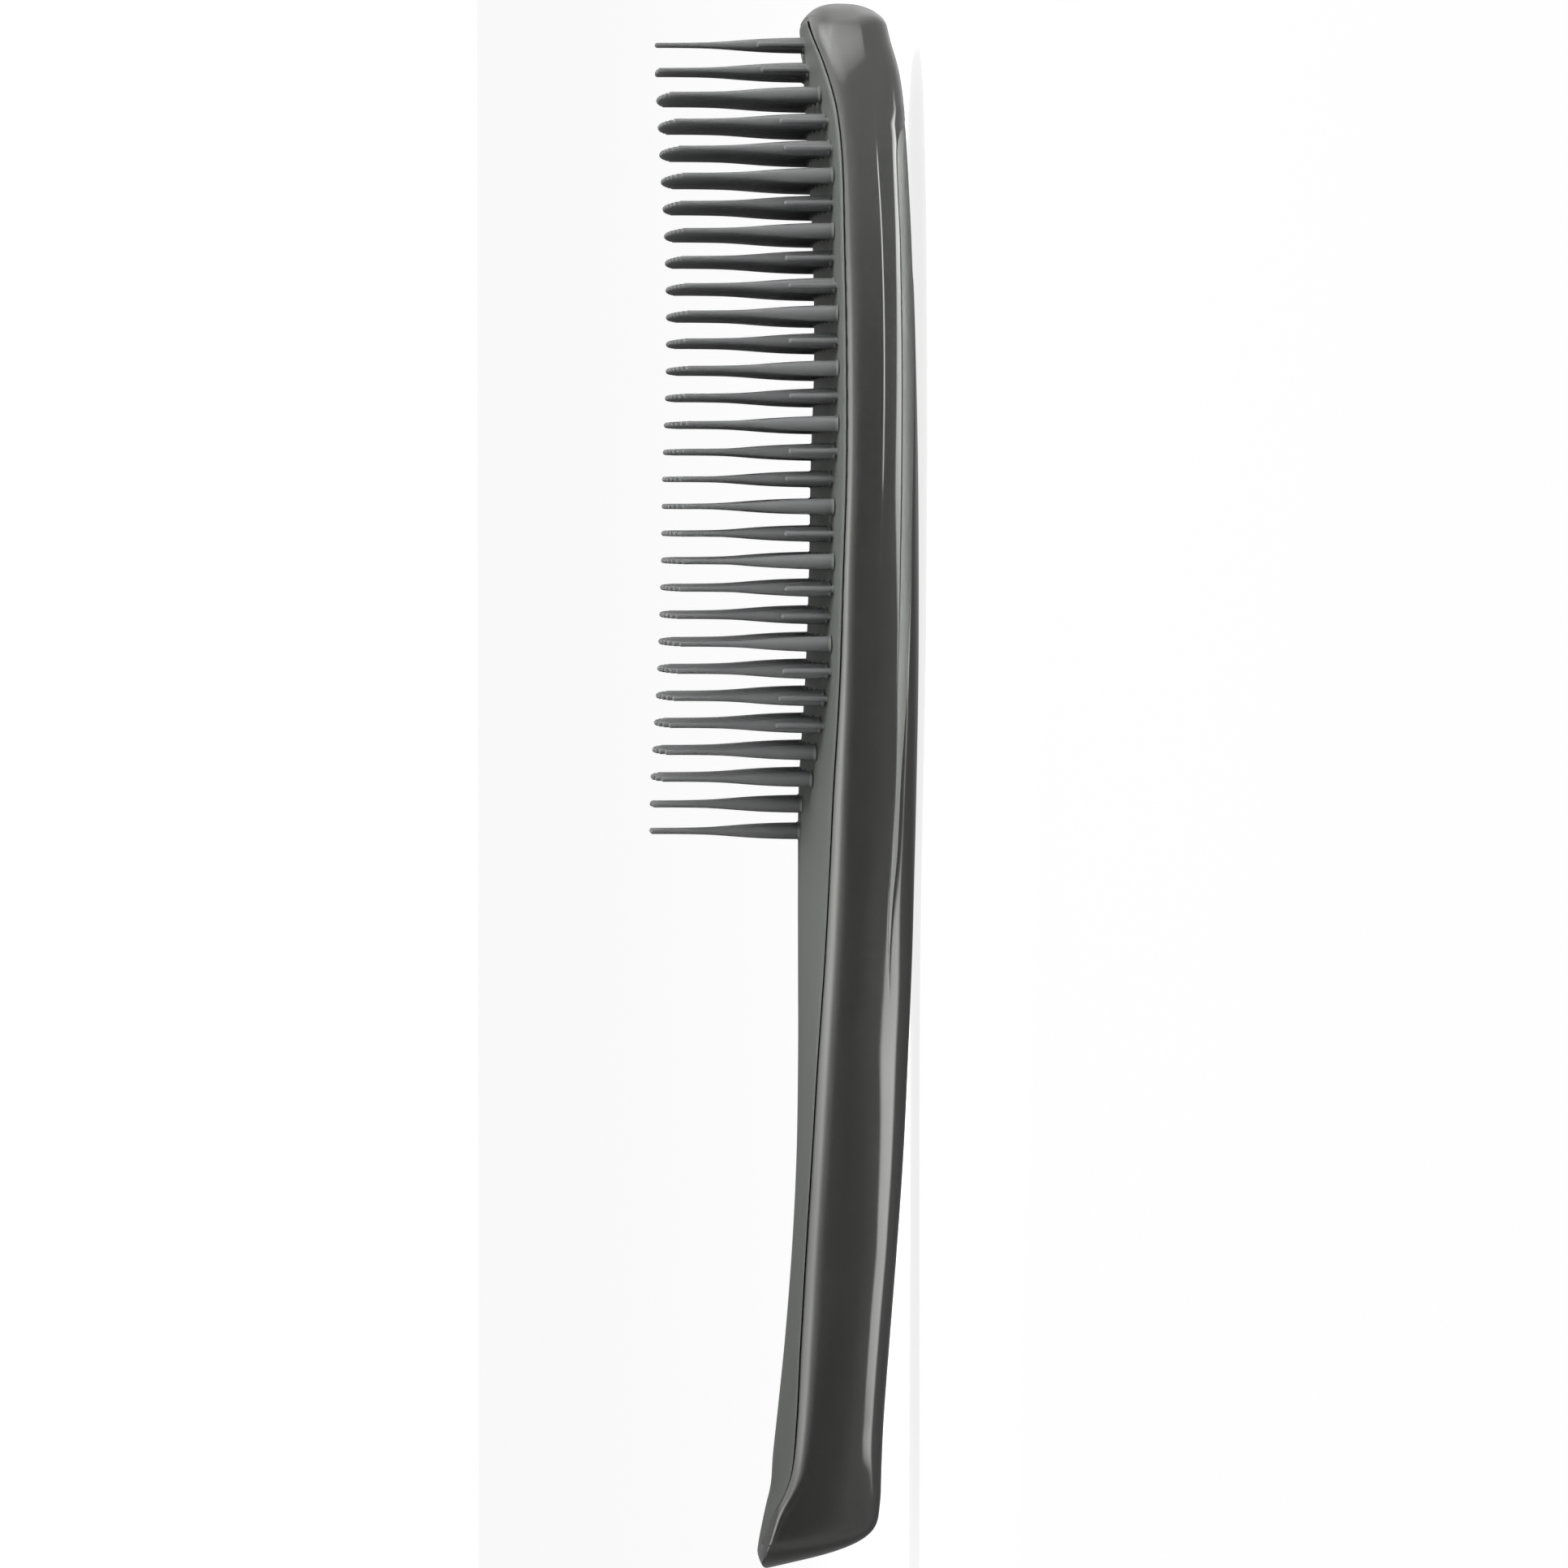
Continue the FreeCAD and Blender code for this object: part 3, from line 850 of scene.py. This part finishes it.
def make_tooth_row(body, teeth, row):
    """One row of teeth on its own strip."""
    mesh = bmesh.new()
    for x, y, is_long in teeth_of(body, teeth, row):
        profile = long_profile(teeth) if is_long else short_profile(teeth)
        z = body.front_level(x, y)
        foot = z - (body.level(y, 2) + body.sizes.seam_gap - teeth.bar_thickness / 2)
        add_turned(mesh, x, y, z, [(-foot, profile[0][1])] + profile, teeth.sides)
    add_strip(mesh, body, teeth, row)
    return finish_mesh("tooth_row_%02d_moulding" % (row + 1), mesh, FINE_MERGE)


# Finishes


def new_group(name, inputs, outputs):
    """Empty node group with named inputs and outputs, and its two end nodes."""
    group = bpy.data.node_groups.new(name, "ShaderNodeTree")
    for label, default in inputs:
        socket = group.interface.new_socket(label, in_out="INPUT", socket_type="NodeSocketFloat")
        socket.default_value = default
    for label in outputs:
        group.interface.new_socket(label, in_out="OUTPUT", socket_type="NodeSocketFloat")
    return group, group.nodes.new("NodeGroupInput"), group.nodes.new("NodeGroupOutput")


def add_node(tree, kind, **settings):
    """New node with its settings."""
    node = tree.nodes.new(kind)
    for name, value in settings.items():
        setattr(node, name, value)
    return node


def number(tree, operation, first, second=None, clamp=False):
    """Result of one operation on sockets or values."""
    node = add_node(tree, "ShaderNodeMath", operation=operation, use_clamp=clamp)
    for socket, value in zip(node.inputs, (first, second)):
        if isinstance(value, bpy.types.NodeSocket):
            tree.links.new(value, socket)
        elif value is not None:
            socket.default_value = value
    return node.outputs[0]


def noise(tree, scale, detail, roughness):
    """Noise over the object's own coordinates, with its scale from a socket."""
    place = add_node(tree, "ShaderNodeTexCoord")
    texture = add_node(tree, "ShaderNodeTexNoise")
    tree.links.new(place.outputs["Object"], texture.inputs["Vector"])
    tree.links.new(scale, texture.inputs["Scale"])
    texture.inputs["Detail"].default_value = detail
    texture.inputs["Roughness"].default_value = roughness
    return texture.outputs["Fac"]


def moulded_grain():
    """Group: fine grain of a moulded surface, as a height."""
    name = "Moulded grain"
    if name in bpy.data.node_groups:
        return bpy.data.node_groups[name]
    inputs = (("Scale", GRAIN_SCALE), ("Coarseness", 0.21), ("Coarse share", 0.6))
    group, start, end = new_group(name, inputs, ("Height",))
    fine = noise(group, start.outputs["Scale"], 2.0, 0.6)
    coarse_scale = number(group, "MULTIPLY", start.outputs["Scale"], start.outputs["Coarseness"])
    coarse = number(group, "MULTIPLY", noise(group, coarse_scale, 1.0, 0.5), start.outputs["Coarse share"])
    group.links.new(number(group, "ADD", fine, coarse), end.inputs["Height"])
    return group


def soft_handling():
    """Group: slow changes of gloss where hands have been, round a middle value."""
    name = "Soft handling"
    if name in bpy.data.node_groups:
        return bpy.data.node_groups[name]
    inputs = (("Scale", GLOSS_SCALE), ("Middle", 0.3), ("Change", 0.1))
    group, start, end = new_group(name, inputs, ("Value",))
    slow = noise(group, start.outputs["Scale"], 4.0, 0.55)
    centred = number(group, "SUBTRACT", slow, 0.5)
    change = number(group, "MULTIPLY", centred, start.outputs["Change"])
    group.links.new(number(group, "ADD", change, start.outputs["Middle"], clamp=True), end.inputs["Value"])
    return group


def place_group(tree, group, **values):
    """Node that uses a group with its own values."""
    node = add_node(tree, "ShaderNodeGroup", node_tree=group)
    for label, value in values.items():
        node.inputs[label].default_value = value
    return node


def plastic(name, base, roughness, change, metallic=0.0, coat=0.0, grain=0.0):
    """Plastic finish: slow changes of colour and gloss, and a fine grain."""
    material = bpy.data.materials.new(name)
    material.use_nodes = True
    tree = material.node_tree
    shader = tree.nodes["Principled BSDF"]
    shader.inputs["Metallic"].default_value = metallic
    shader.inputs["Coat Weight"].default_value = coat
    handling = place_group(tree, soft_handling(), Middle=roughness, Change=change)
    tree.links.new(handling.outputs["Value"], shader.inputs["Roughness"])
    shade = place_group(tree, soft_handling(), Scale=SHADE_SCALE, Middle=0.5, Change=1.0)
    mix = add_node(tree, "ShaderNodeMix", data_type="RGBA")
    mix.inputs["A"].default_value = [c * (1 - TINT_SHARE) for c in base] + [1.0]
    mix.inputs["B"].default_value = [min(c * (1 + TINT_SHARE), 1.0) for c in base] + [1.0]
    tree.links.new(shade.outputs["Value"], mix.inputs["Factor"])
    tree.links.new(mix.outputs["Result"], shader.inputs["Base Color"])
    if grain > 0:
        texture = place_group(tree, moulded_grain())
        bump = add_node(tree, "ShaderNodeBump")
        bump.inputs["Strength"].default_value = grain
        bump.inputs["Distance"].default_value = GRAIN_DEPTH
        tree.links.new(texture.outputs["Height"], bump.inputs["Height"])
        tree.links.new(bump.outputs["Normal"], shader.inputs["Normal"])
    return material


def brush_materials(finish):
    """The brush's finishes, made once."""
    if "Glossy back" not in bpy.data.materials:
        plastic("Glossy back", finish.gloss_colour, finish.gloss_roughness, 0.03, metallic=0.87, coat=0.6)
        plastic("Satin panel", finish.panel_colour, finish.panel_roughness, 0.05, metallic=0.30, grain=0.35)
        plastic("Satin front", finish.front_colour, finish.front_roughness, 0.06, metallic=0.35, grain=0.4)
        plastic("Tooth plastic", finish.tooth_colour, finish.tooth_roughness, 0.06, grain=0.15)
    return bpy.data.materials


# Studio

SENSOR_WIDTH = 36.0
CLIP_START = 0.05
FLOOR_WIDTH = 12.0


def camera_matrix(studio):
    """Place and turn of the camera, with the tip up in the picture and the teeth to the left."""
    target = Vector((0, studio.target_along, studio.target_height))
    stand = Vector((studio.view_distance * math.cos(studio.view_rise), studio.view_along,
                    studio.target_height + studio.view_distance * math.sin(studio.view_rise)))
    away = (stand - target).normalized()
    right = Vector((0, 1, 0)).cross(away).normalized()
    up = away.cross(right)
    turn = Matrix((right, up, away)).transposed().to_4x4()
    return Matrix.Translation(stand) @ turn


def make_camera(studio):
    """Camera at the photograph's angle."""
    data = bpy.data.cameras.new("Camera")
    data.sensor_width = SENSOR_WIDTH
    data.lens = SENSOR_WIDTH * studio.view_distance / studio.frame_width
    data.clip_start = CLIP_START
    camera = bpy.data.objects.new("Camera", data)
    camera.matrix_world = camera_matrix(studio)
    bpy.context.scene.collection.objects.link(camera)
    return camera


# Lamps: where each stands and what it faces, its width and height, its level and its spread in degrees
LAMPS = (
    ("Key", (0.09, 0.28, 0.34), (0, 0.095, 0.03), 0.30, 0.30, 2.9, 35),
    ("Fill", (0.60, -0.70, 0.12), (0, 0.05, 0.03), 0.60, 0.50, 1.5, 180),
    ("Tip", (0.25, 1.15, 0.50), (0, 0.05, 0.03), 0.80, 0.50, 4.5, 180),
)


def add_lamp(name, stand, target, width, height, level, spread_angle):
    """Soft lamp that faces a point and lights no gloss; level is how bright its face is."""
    data = bpy.data.lights.new(name, "AREA")
    data.shape = "RECTANGLE"
    data.size, data.size_y = width, height
    data.energy = level * width * height * math.pi
    data.spread = math.radians(spread_angle)
    lamp = bpy.data.objects.new(name, data)
    lamp.visible_glossy = False
    facing = (Vector(stand) - Vector(target)).to_track_quat("Z", "Y")
    lamp.matrix_world = Matrix.Translation(Vector(stand)) @ facing.to_matrix().to_4x4()
    bpy.context.scene.collection.objects.link(lamp)


# How bright the studio is to the gloss of the brush. The first column is a share of the turn round the
# brush's long axis: from the background over the teeth's side, the camera (0.5) and the back's side to the
# background again. Then the level towards the handle, and the level towards the tip.
AROUND = (
    (0.000, 0.180, 0.50),
    (0.045, 0.100, 0.65),
    (0.100, 0.120, 0.90),
    (0.200, 0.900, 0.75),
    (0.250, 1.300, 0.70),
    (0.310, 1.600, 0.75),
    (0.360, 1.950, 0.78),
    (0.390, 1.950, 0.72),
    (0.420, 1.400, 0.60),
    (0.450, 0.850, 0.52),
    (0.475, 0.520, 0.46),
    (0.500, 0.380, 0.43),
    (0.550, 0.170, 0.38),
    (0.580, 0.095, 0.37),
    (0.620, 0.075, 0.34),
    (0.700, 0.100, 0.33),
    (0.760, 0.200, 0.34),
    (0.850, 0.200, 0.30),
    (0.900, 0.110, 0.30),
    (0.930, 0.090, 0.45),
    (0.965, 0.120, 0.75),
    (1.000, 0.180, 0.50),
)
# Along the brush, from the handle's side (0) to the tip's (1): the tip's share of the levels above, how
# much of the lamp strip is seen, the share of the turn where its middle lies, and the level of the lamp
# beyond the tip
ALONG = (
    (0.000, 0.00, 0.00, 0.840, 0.00),
    (0.395, 0.00, 0.00, 0.840, 0.00),
    (0.420, 0.00, 0.45, 0.822, 0.00),
    (0.440, 0.00, 0.50, 0.815, 0.00),
    (0.465, 0.00, 0.60, 0.806, 0.00),
    (0.490, 0.05, 0.75, 0.811, 0.00),
    (0.550, 0.50, 1.00, 0.822, 0.00),
    (0.600, 0.66, 1.00, 0.832, 0.00),
    (0.635, 0.78, 0.00, 0.842, 0.00),
    (0.750, 1.00, 0.00, 0.875, 0.00),
    (0.930, 1.00, 0.00, 0.900, 0.00),
    (0.955, 1.00, 0.00, 0.900, 0.50),
    (0.980, 1.00, 0.00, 0.900, 0.90),
    (1.000, 1.00, 0.00, 0.900, 1.20),
)
# The lamp strip along the back: its level, and its half width and soft edge as shares of the turn
STRIP_LEVEL = 2.8
STRIP_HALF = 0.021
STRIP_SOFT = 0.012


def add_ramp(tree, value, table, column):
    """Ramp of grey levels from a column of a table."""
    ramp = add_node(tree, "ShaderNodeValToRGB")
    tree.links.new(value, ramp.inputs["Fac"])
    marks = ramp.color_ramp.elements
    while len(marks) < len(table):
        marks.new(1.0)
    for mark, row in zip(marks, table):
        mark.position = row[0]
        mark.color = (row[column], row[column], row[column], 1.0)
    return ramp.outputs["Color"]


def gloss_level(tree):
    """How bright the studio is to the gloss, by direction."""
    place = add_node(tree, "ShaderNodeTexCoord")
    parts = add_node(tree, "ShaderNodeSeparateXYZ")
    tree.links.new(place.outputs["Generated"], parts.inputs[0])
    down = number(tree, "MULTIPLY", parts.outputs["Z"], -1.0)
    turn = number(tree, "ARCTAN2", down, parts.outputs["X"])
    share = number(tree, "ADD", number(tree, "DIVIDE", turn, 2 * math.pi), 0.5)
    forward = number(tree, "ADD", number(tree, "DIVIDE", parts.outputs["Y"], 2.0), 0.5)
    blend = add_node(tree, "ShaderNodeMix", data_type="FLOAT")
    tree.links.new(add_ramp(tree, forward, ALONG, 1), blend.inputs["Factor"])
    tree.links.new(add_ramp(tree, share, AROUND, 1), blend.inputs["A"])
    tree.links.new(add_ramp(tree, share, AROUND, 2), blend.inputs["B"])
    off = number(tree, "SUBTRACT", share, add_ramp(tree, forward, ALONG, 3))
    strip = add_node(tree, "ShaderNodeMapRange", interpolation_type="SMOOTHSTEP")
    tree.links.new(number(tree, "ABSOLUTE", off), strip.inputs["Value"])
    for label, value in (("From Min", STRIP_HALF), ("From Max", STRIP_HALF + STRIP_SOFT),
                         ("To Min", STRIP_LEVEL), ("To Max", 0.0)):
        strip.inputs[label].default_value = value
    lamp = number(tree, "MULTIPLY", strip.outputs["Result"], add_ramp(tree, forward, ALONG, 2))
    lamps = number(tree, "ADD", lamp, add_ramp(tree, forward, ALONG, 4))
    return number(tree, "ADD", blend.outputs["Result"], lamps)


def make_world(studio):
    """White to the camera, even light for the surfaces, and a studio of its own for the gloss."""
    world = bpy.data.worlds.new("Studio")
    bpy.context.scene.world = world
    world.use_nodes = True
    tree = world.node_tree
    tree.nodes.clear()
    paths = add_node(tree, "ShaderNodeLightPath")
    seen = number(tree, "MAXIMUM", paths.outputs["Is Camera Ray"], paths.outputs["Is Transmission Ray"])
    unseen = number(tree, "SUBTRACT", 1.0, seen)
    mirrored = number(tree, "MULTIPLY", paths.outputs["Is Glossy Ray"], unseen)
    even = number(tree, "SUBTRACT", unseen, mirrored)
    level = number(tree, "ADD", seen, number(tree, "MULTIPLY", mirrored, gloss_level(tree)))
    level = number(tree, "ADD", level, number(tree, "MULTIPLY", even, studio.world_level))
    shine = add_node(tree, "ShaderNodeBackground")
    shine.inputs["Color"].default_value = (1.0, 1.0, 1.0, 1.0)
    tree.links.new(level, shine.inputs["Strength"])
    out = add_node(tree, "ShaderNodeOutputWorld")
    tree.links.new(shine.outputs[0], out.inputs["Surface"])


def make_floor(studio):
    """Pale floor that keeps the brush's shadow; from below it lets the back be seen."""
    half = FLOOR_WIDTH / 2
    corners = [(-half, -half, 0), (half, -half, 0), (half, half, 0), (-half, half, 0)]
    data = bpy.data.meshes.new("floor")
    data.from_pydata(corners, [], [(0, 1, 2, 3)])
    floor = bpy.data.objects.new("floor", data)
    bpy.context.scene.collection.objects.link(floor)
    floor.visible_glossy = False
    material = bpy.data.materials.new("Floor")
    material.use_nodes = True
    tree = material.node_tree
    tree.nodes.clear()
    paths = add_node(tree, "ShaderNodeLightPath")
    tone = add_node(tree, "ShaderNodeMix", data_type="RGBA")
    tone.inputs["A"].default_value = list(studio.floor_colour) + [1.0]
    tone.inputs["B"].default_value = list(studio.floor_seen) + [1.0]
    tree.links.new(paths.outputs["Is Camera Ray"], tone.inputs["Factor"])
    matt = add_node(tree, "ShaderNodeBsdfDiffuse")
    tree.links.new(tone.outputs["Result"], matt.inputs["Color"])
    glow = add_node(tree, "ShaderNodeEmission")
    tree.links.new(number(tree, "MULTIPLY", paths.outputs["Is Camera Ray"], studio.floor_lift),
                   glow.inputs["Strength"])
    both = add_node(tree, "ShaderNodeAddShader")
    tree.links.new(matt.outputs[0], both.inputs[0])
    tree.links.new(glow.outputs[0], both.inputs[1])
    clear = add_node(tree, "ShaderNodeBsdfTransparent")
    side = add_node(tree, "ShaderNodeNewGeometry")
    mix = add_node(tree, "ShaderNodeMixShader")
    tree.links.new(side.outputs["Backfacing"], mix.inputs[0])
    tree.links.new(both.outputs[0], mix.inputs[1])
    tree.links.new(clear.outputs[0], mix.inputs[2])
    out = add_node(tree, "ShaderNodeOutputMaterial")
    tree.links.new(mix.outputs[0], out.inputs["Surface"])
    data.materials.append(material)
    return floor


class BRUSH_OT_back_shell(bpy.types.Operator):
    """Make the glossy back with its satin panel"""

    bl_idname = "brush.back_shell"
    bl_label = "Back shell"

    def execute(self, context):
        scene = context.scene
        shell = make_back_shell(Body(scene.brush_sizes))
        materials = brush_materials(scene.brush_finish)
        shell.data.materials.append(materials["Glossy back"])
        shell.data.materials.append(materials["Satin panel"])
        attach(shell, "root")
        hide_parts("back_shell")
        return {"FINISHED"}


class BRUSH_OT_front_cover(bpy.types.Operator):
    """Make the satin front with a collar round each tooth"""

    bl_idname = "brush.front_cover"
    bl_label = "Front cover"

    def execute(self, context):
        scene = context.scene
        cover = make_front_cover(Body(scene.brush_sizes), scene.brush_teeth)
        cover.data.materials.append(brush_materials(scene.brush_finish)["Satin front"])
        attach(cover, "root")
        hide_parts("front_cover")
        return {"FINISHED"}


class BRUSH_OT_tooth_rows(bpy.types.Operator):
    """Make the thirty rows of teeth"""

    bl_idname = "brush.tooth_rows"
    bl_label = "Tooth rows"

    def execute(self, context):
        scene = context.scene
        body = Body(scene.brush_sizes)
        material = brush_materials(scene.brush_finish)["Tooth plastic"]
        for row in range(len(SIDE_TEETH)):
            teeth = make_tooth_row(body, scene.brush_teeth, row)
            teeth.data.materials.append(material)
            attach(teeth, "root")
            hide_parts("tooth_row_%02d" % (row + 1))
        return {"FINISHED"}


class BRUSH_OT_studio(bpy.types.Operator):
    """Make the floor, the light and the camera"""

    bl_idname = "brush.studio"
    bl_label = "Studio"

    def execute(self, context):
        scene = context.scene
        studio = scene.brush_studio
        make_floor(studio)
        make_world(studio)
        for lamp in LAMPS:
            add_lamp(*lamp)
        bpy.context.scene.camera = make_camera(studio)
        scene.view_settings.view_transform = "Standard"
        return {"FINISHED"}


class BRUSH_PT_sidebar(bpy.types.Panel):
    """Brush sizes, finish and steps"""

    bl_idname = "BRUSH_PT_sidebar"
    bl_label = "Detangling brush"
    bl_space_type = "VIEW_3D"
    bl_region_type = "UI"
    bl_category = "Brush"

    def draw(self, context):
        layout = self.layout
        for operator in OPERATORS:
            layout.operator(operator.bl_idname)
        for group in SETTINGS:
            box = layout.box()
            settings = getattr(context.scene, group)
            for name in SETTINGS[group].__annotations__:
                box.prop(settings, name)


SETTINGS = {
    "brush_sizes": BrushSizes,
    "brush_teeth": ToothSizes,
    "brush_finish": BrushFinish,
    "brush_studio": StudioSettings,
}
OPERATORS = (BRUSH_OT_back_shell, BRUSH_OT_front_cover, BRUSH_OT_tooth_rows, BRUSH_OT_studio)


def register():
    """Register the settings, the operators and the panel."""
    for group in SETTINGS.values():
        bpy.utils.register_class(group)
    for operator in OPERATORS:
        bpy.utils.register_class(operator)
    bpy.utils.register_class(BRUSH_PT_sidebar)
    for name, group in SETTINGS.items():
        setattr(bpy.types.Scene, name, PointerProperty(type=group))


def unregister():
    """Take back what register did."""
    for name in SETTINGS:
        delattr(bpy.types.Scene, name)
    bpy.utils.unregister_class(BRUSH_PT_sidebar)
    for operator in reversed(OPERATORS):
        bpy.utils.unregister_class(operator)
    for group in reversed(list(SETTINGS.values())):
        bpy.utils.unregister_class(group)


def main():
    """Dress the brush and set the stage."""
    register()
    bpy.ops.brush.back_shell()
    bpy.ops.brush.front_cover()
    bpy.ops.brush.tooth_rows()
    bpy.ops.brush.studio()


if __name__ == "__main__":
    main()
